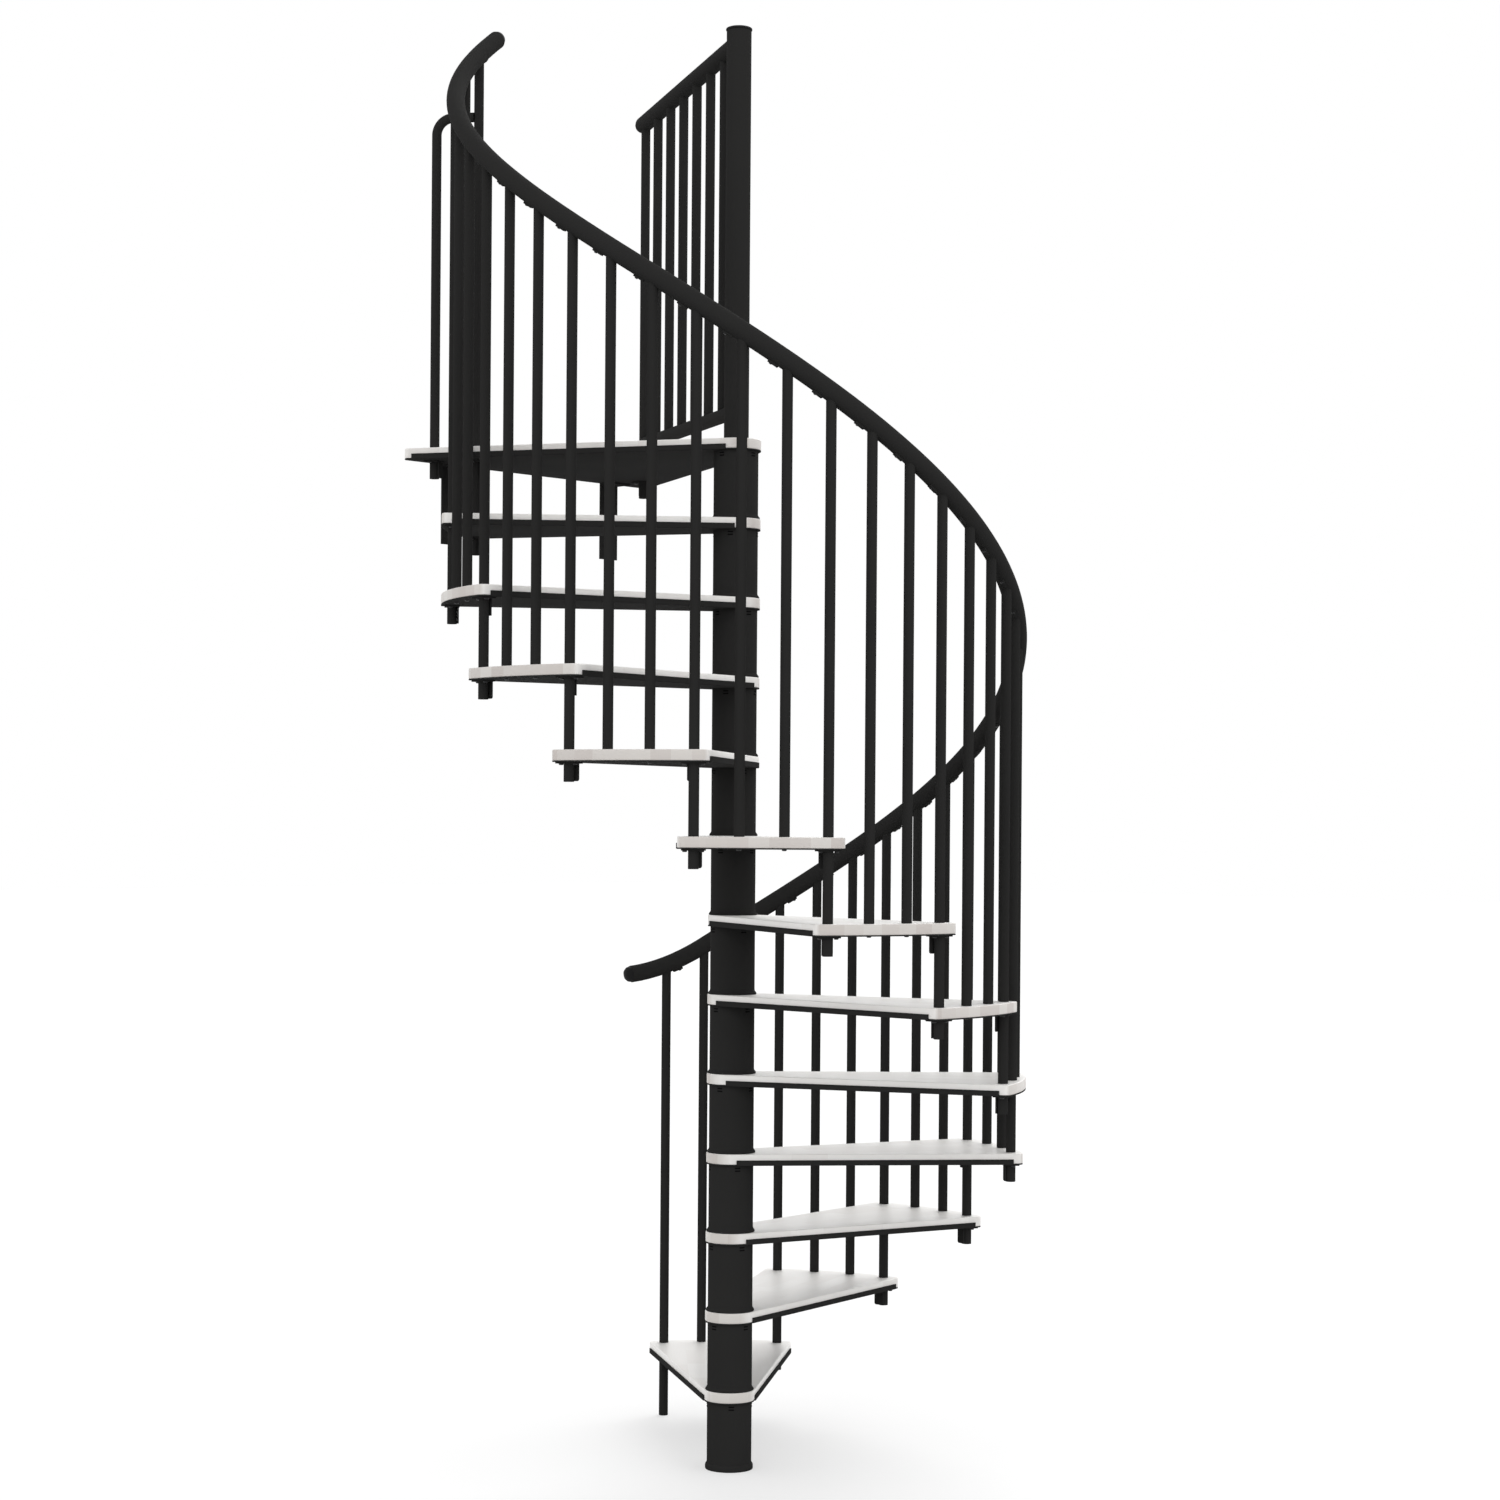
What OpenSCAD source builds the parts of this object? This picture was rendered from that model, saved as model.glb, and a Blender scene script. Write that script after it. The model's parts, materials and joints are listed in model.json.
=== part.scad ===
// Modular spiral stair: wedge treads threaded on a centre tube, a landing,
// plumb balusters and a round handrail that climbs with the treads.
// Millimetres, +Z up, origin in the middle of the base flange's foot.

/* [Stair] */
// Radius from the pole's axis to the outer end of the treads
tread_r = 800; // [700:5:1000]
// Height from one walking surface to the next
riser = 216; // [180:1:260]
// Turn from one tread to the next, in degrees
step_turn = 25.27; // [21:0.01:30.4]
// Number of treads below the landing
tread_count = 12; // [8:1:13]

/* [Treads] */
// Thickness of the wood boards
board_t = 28; // [20:1:40]
// Distance that a tread's round end stands out past the spacer tubes
ring_past = 7; // [6:0.5:20]
// Radius of the boards' outer corners
corner_r = 18; // [6:1:25]
// Distance that a tread's side runs past the middle of its corner baluster
edge_past = 40; // [30:1:48]
// Thickness of the steel sheet that the trays are folded from
sheet_t = 3; // [2:0.5:4]
// Height of a tray's side flange above its sheet
flange_h = 12; // [8:1:19]
// Distance from the outer corner at which the side flange stops
flange_stop = 27; // [26:1:80]
// Distance from the ring at which the side flange starts
flange_start = 8; // [4:1:40]
// Clearance between a board's side and its tray's flange
board_gap = 0.5; // [0.2:0.1:1]

/* [Pole] */
// Outer diameter of the tube that everything is threaded on
tube_d = 60; // [48:1:62]
// Wall of the centre tube
tube_wall = 3; // [2:0.5:5]
// Outer diameter of the spacer tubes
spacer_d = 122; // [90:1:130]
// Wall of the spacer tubes
spacer_wall = 3; // [2:0.5:6]
// Distance that the collar at a spacer's foot stands out past the spacer
collar_past = 5; // [2:0.5:7]
// Height of that collar
collar_h = 10; // [4:1:20]
// Distance that the base flange stands out past the lowest spacer
base_past = 4.5; // [2:0.5:50]
// Thickness of the base flange
base_t = 19; // [10:1:30]
// Radial clearance of everything threaded on the centre tube
slip_gap = 0.4; // [0.2:0.1:1]

/* [Newel] */
// Wall of the newel post, which slips over the centre tube
newel_wall = 4; // [2.5:0.5:12]
// Distance that the newel post rises past the middle of the guard's top rail
newel_past = 32; // [26:1:120]
// Distance that the newel's cap stands out past the post
newel_cap_past = 2; // [0.5:0.5:5]
// Thickness of the cap's rim over the post
newel_cap_t = 8; // [4:1:20]

/* [Balusters] */
// Distance from the treads' outer end to the middle of the balusters
baluster_inset = 30; // [24:1:60]
// Diameter of the balusters
baluster_d = 27; // [16:1:32]
// Clearance round a baluster in its hole
baluster_gap = 0.3; // [0.2:0.1:1]
// Distance that a corner baluster ends below the tread it hangs through
stub_drop = 81; // [60:1:120]
// Diameter of the screw holes under the other balusters
foot_hole_d = 7; // [4.5:0.5:10]

/* [Handrail] */
// Diameter of the handrail
rail_d = 50; // [36:1:60]
// Height of the rail's middle over a tread at its lower corner baluster
rail_h = 1110; // [900:5:1250]
// Distance that the rail's first end is raised to ease its start
rail_ease = 59; // [0:1:90]

/* [Landing] */
// Distance that the landing's outer edge lies past the treads' outer end
landing_past = 41; // [20:1:300]
// Direction of the landing's guarded side
guard_az = 154.2; // [148:0.1:158]
// Direction of the landing's entry side
entry_az = 206.2; // [205.8:0.1:210]
// Direction of the last corner baluster
last_az = 205.3; // [204:0.1:206]
// Height of the landing guard's top rail at the newel
guard_h = 1088; // [900:1:1100]
// Distance that the top rail falls to its outer end
guard_fall = 54; // [0:1:70]
// Diameter of the top rail
guard_rail_d = 49; // [30:1:60]
// Height of the bottom rail
guard_low_h = 80; // [50:1:150]
// Diameter of the bottom rail
guard_low_d = 39; // [26:1:50]
// Distance along the guard from its outermost baluster to the landing's outer edge
guard_inset = 145; // [60:1:180]
// Number of the guard's balusters
guard_count = 7; // [4:1:7]
// Distance that the top rail runs past its outermost baluster
guard_past = 50; // [30:1:100]

/* [Corner rail] */
// Distance of the corner rail's post from the landing's outer edge
corner_inset = 46; // [30:1:60]
// Distance along Y of the corner rail's post from the landing's entry side
corner_side = 68; // [45:1:90]
// Height of its horizontal run over the landing
corner_h = 935; // [800:5:1100]
// Radius of its bend
corner_bend = 48; // [30:1:60]

/* [Slab plates] */
// Width of a slab plate
plate_w = 70; // [50:1:120]
// Thickness of a slab plate
plate_t = 5; // [4:0.5:10]
// Depth of a slab plate below the tray
plate_h = 226; // [160:1:300]
// Length of the plate's foot under the tray
plate_foot = 60; // [40:1:100]
// Distance along Y of the first plate's middle from the landing's entry side
plate_side_1 = 190; // [120:1:300]
// Distance along Y of the second plate's middle from the landing's guarded side
plate_side_2 = 159; // [120:1:300]
// Diameter of the bolt holes
plate_hole_d = 11; // [8:0.5:14]
// Distance between the two bolt holes
plate_pitch = 120; // [60:5:160]

/* [Brackets] */
// Width of a bracket's foot along the tread's end
bracket_w = 57; // [50:1:70]
// Depth of a bracket's foot towards the pole
bracket_depth = 40; // [34:1:60]
// Height of a bracket's leg
bracket_h = 48; // [30:1:50]
// Thickness of the brackets
bracket_t = 4; // [3:0.5:5]
// Radius of the leg's lower corner
bracket_round = 6; // [5:1:14]

/* [Hidden] */
$fn = 64;
sweep_sides = 16;
sweep_rings = 92;
spacing = step_turn / 3;
tread_t = board_t + sheet_t;
ring_r = spacer_d / 2 + ring_past;
baluster_r = tread_r - baluster_inset;
landing_x = tread_r + landing_past;
landing_z = (tread_count + 1) * riser;
newel_d = tube_d + 2 * newel_wall;
newel_h = guard_h + newel_past;
newel_cap_d = newel_d + 2 * newel_cap_past;
post_hole_r = baluster_d / 2 + baluster_gap;
threaded_r = tube_d / 2 + slip_gap;
side_turn = step_turn / 2 - asin((ring_r - edge_past) / baluster_r);
corner_az = side_turn + asin((ring_r - corner_r) / (tread_r - corner_r));
side_len = sqrt(pow(tread_r, 2) - pow(ring_r, 2));
first_rail = -0.98;
last_rail = 3 * tread_count + 0.94;
fold = 0.6;
base_r = spacer_d / 2 + base_past;
base_step = 1.5;
clip_l = 30;
clip_w = 12;
clip_t = 7;
bolt_drop = plate_h - 45;
guard_r = -landing_x / cos(guard_az) - guard_inset;
guard_end_r = guard_r + guard_past;
guard_pitch = guard_r / guard_count;
guard_tilt = atan(guard_fall / guard_end_r);
corner_x = corner_inset - landing_x;
corner_y = side_y(entry_az, 90, corner_x) + corner_side;
plate_y1 = side_y(entry_az, 90, -landing_x) + plate_side_1;
plate_y2 = side_y(guard_az, -90, -landing_x) - plate_side_2;
steel = [0.16, 0.16, 0.16];
wood = [0.88, 0.86, 0.83];

// ---- directions, heights and outlines ----

// Unit vector at an angle in the plane
function dir(a) = [cos(a), sin(a)];

// Points along an arc from angle a0 to a1 in n steps
function arc(r, a0, a1, n, c = [0, 0]) =
    [for (s = [0 : n]) c + r * dir(a0 + (a1 - a0) * s / n)];

// Direction of baluster k, counted from the foot; every third one is a corner
function baluster_az(k) = last_az + (tread_count - k / 3) * step_turn;

// Direction of tread i's middle line
function tread_az(i) = baluster_az(3 * i - 1.5);

// Height of the handrail's middle at baluster k
function rail_z(k) = riser * (1 + k / 3) + rail_h
    + (k < 1 ? rail_ease * pow((1 - k) / 2, 2) : 0);

// Slope of the handrail at baluster k, in degrees
function rail_slope(k) =
    atan2(rail_z(k + 0.1) - rail_z(k - 0.1),
          0.2 * spacing * PI / 180 * baluster_r);

// Middle of the handrail at baluster k
function rail_point(k) =
    [baluster_r * cos(baluster_az(k)), baluster_r * sin(baluster_az(k)), rail_z(k)];

// A tread seen from above, its middle line along +X
function tread_outline() = concat(
    arc(ring_r, 90 + side_turn, 270 - side_turn, 36),
    arc(corner_r, -90 - side_turn, -corner_az, 8,
        (tread_r - corner_r) * dir(-corner_az)),
    [for (s = [1 : 23]) tread_r * dir(corner_az * (s / 12 - 1))],
    arc(corner_r, corner_az, 90 + side_turn, 8,
        (tread_r - corner_r) * dir(corner_az)));

// Where a landing side is at x; turn is -90 on the guarded side, 90 on the entry side
function side_y(az, turn, x) =
    let (start = ring_r * dir(az + turn))
    start.y + (x - start.x) * tan(az);

// Middle of the rounded corner between a landing side and the outer edge;
// turn is -90 on the guarded side and 90 on the entry side
function landing_corner(az, turn) =
    let (inset = (ring_r - corner_r) * dir(az + turn),
         run = (corner_r - landing_x - inset.x) / cos(az))
    inset + run * dir(az);

// The landing seen from above
function landing_outline() = concat(
    arc(corner_r, guard_az - 90, 180, 10, landing_corner(guard_az, -90)),
    arc(corner_r, 180, entry_az + 90, 10, landing_corner(entry_az, 90)),
    arc(ring_r, entry_az + 90, guard_az + 270, 24));

module at(az, r, z = 0) {
    rotate([0, 0, az]) translate([r, 0, z]) children();
}

module plate(outline, t) {
    linear_extrude(height = t) polygon(outline);
}

module bore(r, h, z = 0) {
    translate([0, 0, z - 1]) cylinder(r = r, h = h + 2);
}

// A round bar along +X
module bar(r, l) {
    rotate([0, 90, 0]) cylinder(r = r, h = l);
}

// The handrail as a straight bar through baluster k's top, to cut to its underside
module rail_cutter(k) {
    rotate([0, 0, baluster_az(k)])
        translate([baluster_r, 0, rail_z(k)])
        rotate([90 - rail_slope(k), 0, 0])
        cylinder(r = rail_d / 2, h = 6 * baluster_d, center = true);
}

// ---- pole ----

module base_flange() {
    color(steel) difference() {
        union() {
            cylinder(r = base_r, h = base_t - base_step);
            translate([0, 0, base_t - base_step])
                cylinder(r = base_r - base_step, h = base_step);
        }
        bore(threaded_r, base_t);
    }
}

module centre_tube() {
    color(steel) difference() {
        cylinder(d = tube_d, h = landing_z + newel_h / 4);
        bore(tube_d / 2 - tube_wall, landing_z + newel_h / 4);
    }
}

module spacer(z0, z1, foot) {
    translate([0, 0, z0]) difference() {
        union() {
            cylinder(d = spacer_d, h = z1 - z0);
            cylinder(d = foot, h = collar_h);
        }
        bore(spacer_d / 2 - spacer_wall, z1 - z0);
    }
}

module pole_spacers() {
    color(steel) for (i = [0 : tread_count])
        spacer(i == 0 ? base_t : i * riser, (i + 1) * riser - tread_t,
               spacer_d + (i == 0 ? 0 : 2 * collar_past));
}

module newel_post() {
    color(steel) difference() {
        translate([0, 0, landing_z]) cylinder(d = newel_d, h = newel_h);
        bore(threaded_r, newel_h, landing_z);
    }
}

module newel_cap() {
    color(steel) translate([0, 0, landing_z + newel_h]) {
        cylinder(d = newel_cap_d, h = newel_cap_t - 3);
        translate([0, 0, newel_cap_t - 3])
            cylinder(d1 = newel_cap_d, d2 = newel_cap_d - 6, h = 3);
    }
}

// ---- treads ----

// Holes that go through a tread's board and tray alike
module tread_holes(h) {
    bore(threaded_r, h);
    for (k = [-1.5, 1.5]) at(k * spacing, baluster_r) bore(post_hole_r, h);
    for (k = [-0.5, 0.5]) at(k * spacing, baluster_r) bore(foot_hole_d / 2, h);
}

module tread_board(i) {
    color(wood) at(tread_az(i), 0, i * riser - board_t) difference() {
        plate(tread_outline(), board_t);
        tread_holes(board_t);
    }
}

// Folded-up strip beside a straight side, which runs along +X at y = ring_r.
// Its foot runs into the sheet's thickness, a fold's depth from both its faces
module side_flange(l) {
    inner = ring_r + board_gap;
    translate([flange_start, 0, 0]) rotate([90, 0, 90])
        linear_extrude(height = l - flange_start)
        polygon([[ring_r - 2 * sheet_t, fold], [inner + sheet_t, fold],
                 [inner + sheet_t, sheet_t + flange_h], [inner, sheet_t + flange_h],
                 [inner, sheet_t - fold], [ring_r - 2 * sheet_t, sheet_t - fold]]);
}

module tread_tray(i) {
    color(steel) at(tread_az(i), 0, i * riser - tread_t) difference() {
        union() {
            plate(tread_outline(), sheet_t);
            for (m = [0, 1]) mirror([0, m, 0])
                rotate([0, 0, side_turn]) side_flange(side_len - flange_stop);
        }
        tread_holes(sheet_t);
    }
}

// ---- landing ----

module landing_holes(h) {
    bore(threaded_r, h);
    at(last_az, baluster_r) bore(post_hole_r, h);
    at(guard_az, guard_r) bore(post_hole_r, h);
    translate([corner_x, corner_y]) bore(post_hole_r, h);
}

module landing_board() {
    color(wood) translate([0, 0, landing_z - board_t]) difference() {
        plate(landing_outline(), board_t);
        landing_holes(board_t);
    }
}

// Length of a landing side from the ring to its outer corner
function landing_side(az, turn) =
    norm(landing_corner(az, turn) - (ring_r - corner_r) * dir(az + turn)) + corner_r;

module landing_tray() {
    color(steel) translate([0, 0, landing_z - tread_t]) difference() {
        union() {
            plate(landing_outline(), sheet_t);
            rotate([0, 0, guard_az]) mirror([0, 1, 0])
                side_flange(landing_side(guard_az, -90) - flange_stop);
            rotate([0, 0, entry_az])
                side_flange(landing_side(entry_az, 90) - flange_stop);
        }
        landing_holes(sheet_t);
    }
}

// ---- balusters ----

module baluster(k, z0) {
    difference() {
        at(baluster_az(k), baluster_r, z0)
            cylinder(d = baluster_d, h = rail_z(k) - z0);
        rail_cutter(k);
    }
}

// The corner balusters join a tread to the one below; the first reaches the floor
module corner_balusters() {
    color(steel) for (i = [0 : tread_count])
        baluster(3 * i, i == 0 ? 0 : i * riser - stub_drop);
}

// The others stand on a tread, held by a screw from below
module middle_balusters() {
    color(steel) for (i = [1 : tread_count], s = [2, 1])
        baluster(3 * i - s, i * riser);
}

// ---- handrail ----

// Ring s of the handrail's sweep
function rail_ring(k) =
    let (c = rail_point(k),
         ahead = rail_point(k + 0.05) - rail_point(k - 0.05),
         out = [cos(baluster_az(k)), sin(baluster_az(k)), 0],
         up = cross(out, ahead / norm(ahead)))
    [for (s = [0 : sweep_sides - 1])
        let (a = 360 * (s + 0.5) / sweep_sides)
        c + rail_d / 2 * (cos(a) * out + sin(a) * up)];

module handrail() {
    rings = [for (j = [0 : sweep_rings])
        rail_ring(first_rail + (last_rail - first_rail) * j / sweep_rings)];
    n = sweep_sides;
    sides = [for (j = [0 : sweep_rings - 1], s = [0 : n - 1])
        [j * n + s, (j + 1) * n + s, (j + 1) * n + (s + 1) % n, j * n + (s + 1) % n]];
    first_end = [for (s = [0 : n - 1]) s];
    last_end = [for (s = [0 : n - 1]) sweep_rings * n + n - 1 - s];
    color(steel) polyhedron(points = [for (r = rings) each r],
                            faces = concat(sides, [first_end, last_end]));
}

// Domed plug in an end of the handrail; way is 1 at the upper end, -1 at the lower
module rail_end(k, way) {
    translate(rail_point(k)) rotate([0, 0, baluster_az(k)])
        rotate([90 - rail_slope(k), 0, 0]) mirror([0, 0, way > 0 ? 0 : 1])
        intersection() {
            sphere(d = rail_d - 2);
            translate([0, 0, rail_d / 2]) cube(rail_d, center = true);
        }
}

module handrail_ends() {
    color(steel) {
        rail_end(first_rail, -1);
        rail_end(last_rail, 1);
    }
}

// Tongue that screws each baluster to the rail's underside, on the uphill side
module handrail_clips() {
    color(steel) for (k = [0 : 3 * tread_count]) difference() {
        translate(rail_point(k)) rotate([0, 0, baluster_az(k)])
            rotate([-rail_slope(k), 0, 0])
            translate([-clip_w / 2, -clip_l - baluster_d / 2, -rail_d / 2 - clip_t + 2])
            cube([clip_w, clip_l, clip_t]);
        rail_cutter(k);
    }
}

// ---- brackets under the treads ----

// Stands under a tray at a baluster; side is 1 where the tread's middle is at +Y
module bracket(side) {
    mirror([0, side > 0 ? 0 : 1, 0]) difference() {
        union() {
            translate([-bracket_depth / 2, -bracket_w / 2, -bracket_t])
                cube([bracket_depth, bracket_w, bracket_t]);
            translate([-baluster_d / 2 - bracket_t - baluster_gap, 0, -bracket_h])
                bracket_leg();
        }
        bore(post_hole_r, bracket_h, -bracket_h);
    }
}

module bracket_leg() {
    w = baluster_d / 2 + bracket_round;
    rotate([90, 0, 90]) linear_extrude(height = bracket_t) union() {
        translate([-w / 2, bracket_round]) square([1.5 * w, bracket_h - bracket_round]);
        translate([-w / 2, 0]) square([1.5 * w - bracket_round, bracket_h]);
        translate([w - bracket_round, bracket_round]) circle(r = bracket_round);
    }
}

module baluster_brackets() {
    color(steel) {
        for (i = [1 : tread_count], k = [-1.5, 1.5])
            at(tread_az(i) + k * spacing, baluster_r, i * riser - tread_t)
            bracket(-k);
        at(last_az, baluster_r, landing_z - tread_t) bracket(-1);
        at(guard_az, guard_r, landing_z - tread_t) bracket(1);
        translate([corner_x, corner_y, landing_z - tread_t])
            rotate([0, 0, entry_az]) bracket(-1);
    }
}

// ---- landing guard ----

module guard_top_rail() {
    color(steel) difference() {
        at(guard_az, 0, landing_z + guard_h) rotate([0, guard_tilt, 0]) {
            bar(guard_rail_d / 2, guard_end_r - guard_rail_d / 2);
            translate([guard_end_r - guard_rail_d / 2, 0, 0]) sphere(d = guard_rail_d);
        }
        translate([0, 0, landing_z]) cylinder(d = newel_d, h = newel_h);
    }
}

module guard_bottom_rail() {
    color(steel) difference() {
        at(guard_az, 0, landing_z + guard_low_h) bar(guard_low_d / 2, guard_r);
        translate([0, 0, landing_z]) cylinder(d = newel_d, h = newel_h);
        at(guard_az, guard_r, landing_z) cylinder(d = baluster_d, h = newel_h);
    }
}

module guard_balusters() {
    color(steel) difference() {
        for (j = [0 : guard_count - 1]) {
            r = guard_r - j * guard_pitch;
            foot = j == 0 ? -stub_drop : guard_low_h;
            at(guard_az, r, landing_z + foot)
                cylinder(d = baluster_d, h = guard_h - foot - r * tan(guard_tilt));
        }
        at(guard_az, 0, landing_z + guard_h) rotate([0, guard_tilt, 0])
            bar(guard_rail_d / 2, guard_end_r);
        at(guard_az, 0, landing_z + guard_low_h)
            bar(guard_low_d / 2, guard_r - guard_pitch / 2);
    }
}

// Bent tube that closes the gap between the last baluster and the landing's corner
module corner_rail() {
    last = baluster_r * dir(last_az);
    run = last - [corner_x, corner_y];
    reach = norm(run) - baluster_d / 2;
    color(steel) translate([corner_x, corner_y, landing_z])
        rotate([0, 0, atan2(run.y, run.x)]) {
            translate([0, 0, -stub_drop])
                cylinder(d = baluster_d, h = stub_drop + corner_h - corner_bend);
            translate([corner_bend, 0, corner_h - corner_bend])
                rotate([90, 0, 0]) rotate([0, 0, 90])
                rotate_extrude(angle = 90) translate([corner_bend, 0])
                circle(d = baluster_d);
            translate([corner_bend, 0, corner_h])
                bar(baluster_d / 2, reach - corner_bend);
        }
}

// ---- plates that bolt the landing to the slab's edge ----

module slab_plate(y) {
    translate([-landing_x, y, landing_z - tread_t]) difference() {
        union() {
            translate([0, -plate_w / 2, -plate_h]) cube([plate_t, plate_w, plate_h]);
            translate([0, -plate_w / 2, -plate_t]) cube([plate_foot, plate_w, plate_t]);
        }
        for (z = [-bolt_drop, plate_pitch - bolt_drop]) translate([0, 0, z])
            rotate([0, 90, 0]) bore(plate_hole_d / 2, plate_t);
    }
}

module slab_plates() {
    color(steel) for (y = [plate_y1, plate_y2]) slab_plate(y);
}

// ---- the nodes ----

base_flange();
centre_tube();
pole_spacers();
newel_post();
newel_cap();
for (i = [1 : tread_count]) {
    tread_board(i);
    tread_tray(i);
}
landing_board();
landing_tray();
corner_balusters();
middle_balusters();
handrail();
handrail_ends();
handrail_clips();
baluster_brackets();
guard_top_rail();
guard_bottom_rail();
guard_balusters();
corner_rail();
slab_plates();
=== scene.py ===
import json
import math

import bmesh
import bpy
from mathutils import Matrix, Vector


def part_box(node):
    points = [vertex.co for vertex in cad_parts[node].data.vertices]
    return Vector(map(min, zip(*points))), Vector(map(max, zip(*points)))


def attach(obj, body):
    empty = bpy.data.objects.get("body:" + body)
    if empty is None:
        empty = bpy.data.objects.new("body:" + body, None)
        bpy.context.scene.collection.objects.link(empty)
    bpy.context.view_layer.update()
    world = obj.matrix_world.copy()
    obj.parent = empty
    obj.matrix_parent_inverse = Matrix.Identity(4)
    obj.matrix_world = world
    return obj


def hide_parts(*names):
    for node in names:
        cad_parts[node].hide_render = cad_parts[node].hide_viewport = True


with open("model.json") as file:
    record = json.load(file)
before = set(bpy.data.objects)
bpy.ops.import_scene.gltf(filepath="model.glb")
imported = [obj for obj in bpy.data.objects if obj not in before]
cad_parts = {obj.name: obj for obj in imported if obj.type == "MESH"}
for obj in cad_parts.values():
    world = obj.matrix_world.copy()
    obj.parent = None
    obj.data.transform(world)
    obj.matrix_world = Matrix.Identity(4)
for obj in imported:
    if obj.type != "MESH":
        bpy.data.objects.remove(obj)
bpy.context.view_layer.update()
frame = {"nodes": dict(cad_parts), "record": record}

scene = bpy.context.scene
nodes = frame["nodes"]
X_AXIS, Z_AXIS = Vector((1, 0, 0)), Vector((0, 0, 1))


# ---- Foot of the stair ----
# A thick round flange turned from steel, with softly rounded rims, under a fine matt
# black powder coat. It slips over the centre tube, which is anchored to the floor.

flange_low, flange_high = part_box("base_flange")
flange_r = flange_high.x
bore_r = 0.0304
bore_round, foot_round = 0.001, 0.003
shoulder_drop, shoulder_in, shoulder_round = 0.0045, 0.005, 0.004
steel_black = (0.0215, 0.0213, 0.0210, 1)
steel_sheen = (0.0290, 0.0287, 0.0281, 1)
round_steps = 72


def effect(name, inputs, outputs):
    """An empty shader node group with named sockets, and its two end nodes."""
    tree = bpy.data.node_groups.new(name, "ShaderNodeTree")
    for label, kind in inputs:
        tree.interface.new_socket(label, in_out="INPUT", socket_type="NodeSocket" + kind)
    for label, kind in outputs:
        tree.interface.new_socket(label, in_out="OUTPUT", socket_type="NodeSocket" + kind)
    return tree, tree.nodes.new("NodeGroupInput"), tree.nodes.new("NodeGroupOutput")


def add(tree, kind, values, **settings):
    """A shader node; values maps its input sockets to numbers or to other nodes' outputs."""
    made = tree.nodes.new("ShaderNode" + kind)
    for name, setting in settings.items():
        setattr(made, name, setting)
    for socket, value in values.items():
        if isinstance(value, bpy.types.NodeSocket):
            tree.links.new(value, made.inputs[socket])
        else:
            made.inputs[socket].default_value = value
    return made


# Powder coat: cloudy shifts of tone, and the fine orange peel of the baked resin
coat, given, out = effect(
    "powder_coat",
    [("Vector", "Vector"), ("Dark", "Color"), ("Light", "Color"),
     ("Roughness", "Float"), ("Peel Scale", "Float")],
    [("Colour", "Color"), ("Roughness", "Float"), ("Height", "Float")])
cloud = add(coat, "TexNoise", {"Vector": given.outputs["Vector"], "Scale": 5, "Detail": 3})
peel = add(coat, "TexNoise", {"Vector": given.outputs["Vector"],
                              "Scale": given.outputs["Peel Scale"], "Detail": 2})
tone = add(coat, "Math", {0: cloud.outputs["Fac"], 1: peel.outputs["Fac"]})
tone_half = add(coat, "Math", {0: tone.outputs[0], 1: 0.5}, operation="MULTIPLY")
shade = add(coat, "Mix", {0: tone_half.outputs[0], 6: given.outputs["Dark"],
                          7: given.outputs["Light"]}, data_type="RGBA")
dulling = add(coat, "MapRange", {"Value": cloud.outputs["Fac"], "From Min": 0.3,
                                 "From Max": 0.7, "To Min": -0.05, "To Max": 0.05})
dulled = add(coat, "Math", {0: given.outputs["Roughness"], 1: dulling.outputs[0]})
coat.links.new(shade.outputs[2], out.inputs["Colour"])
coat.links.new(dulled.outputs[0], out.inputs["Roughness"])
coat.links.new(peel.outputs["Fac"], out.inputs["Height"])


def black_finish(name, dark, light, roughness, peel_scale, bump, specular):
    """A material of the powder coat's kind, on object coordinates."""
    finish = bpy.data.materials.new(name)
    finish.use_nodes = True
    tree = finish.node_tree
    shader = tree.nodes["Principled BSDF"]
    place = add(tree, "TexCoord", {})
    effect_node = add(tree, "Group", {}, node_tree=coat)
    tree.links.new(place.outputs["Object"], effect_node.inputs["Vector"])
    effect_node.inputs["Dark"].default_value = dark
    effect_node.inputs["Light"].default_value = light
    effect_node.inputs["Roughness"].default_value = roughness
    effect_node.inputs["Peel Scale"].default_value = peel_scale
    relief = add(tree, "Bump", {"Height": effect_node.outputs["Height"],
                                "Strength": bump, "Distance": 0.0003})
    tree.links.new(effect_node.outputs["Colour"], shader.inputs["Base Color"])
    tree.links.new(effect_node.outputs["Roughness"], shader.inputs["Roughness"])
    tree.links.new(relief.outputs["Normal"], shader.inputs["Normal"])
    shader.inputs["Specular IOR Level"].default_value = specular
    return finish


coated_steel = black_finish("coated_steel", steel_black, steel_sheen, 0.85, 520, 0.15, 0.01)


def turned(corners, steps, hollow):
    """A turned part: (radius, height, rounding) corners, spun about Z."""
    part = bmesh.new()
    verts = [part.verts.new((radius, 0, height)) for radius, height, _ in corners]
    for near, far in zip(verts, verts[1:] + (verts[:1] if hollow else [])):
        part.edges.new((near, far))
    for vert, (_, _, rounding) in zip(verts, corners):
        if rounding:
            bmesh.ops.bevel(part, geom=[vert], offset=rounding, offset_type="OFFSET",
                            segments=3, profile=0.5, affect="VERTICES", material=-1)
    bmesh.ops.spin(part, geom=part.verts[:] + part.edges[:], cent=(0, 0, 0), axis=Z_AXIS,
                   dvec=(0, 0, 0), angle=math.tau, steps=steps, use_merge=True)
    bmesh.ops.remove_doubles(part, verts=part.verts, dist=1e-6)
    return part


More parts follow.
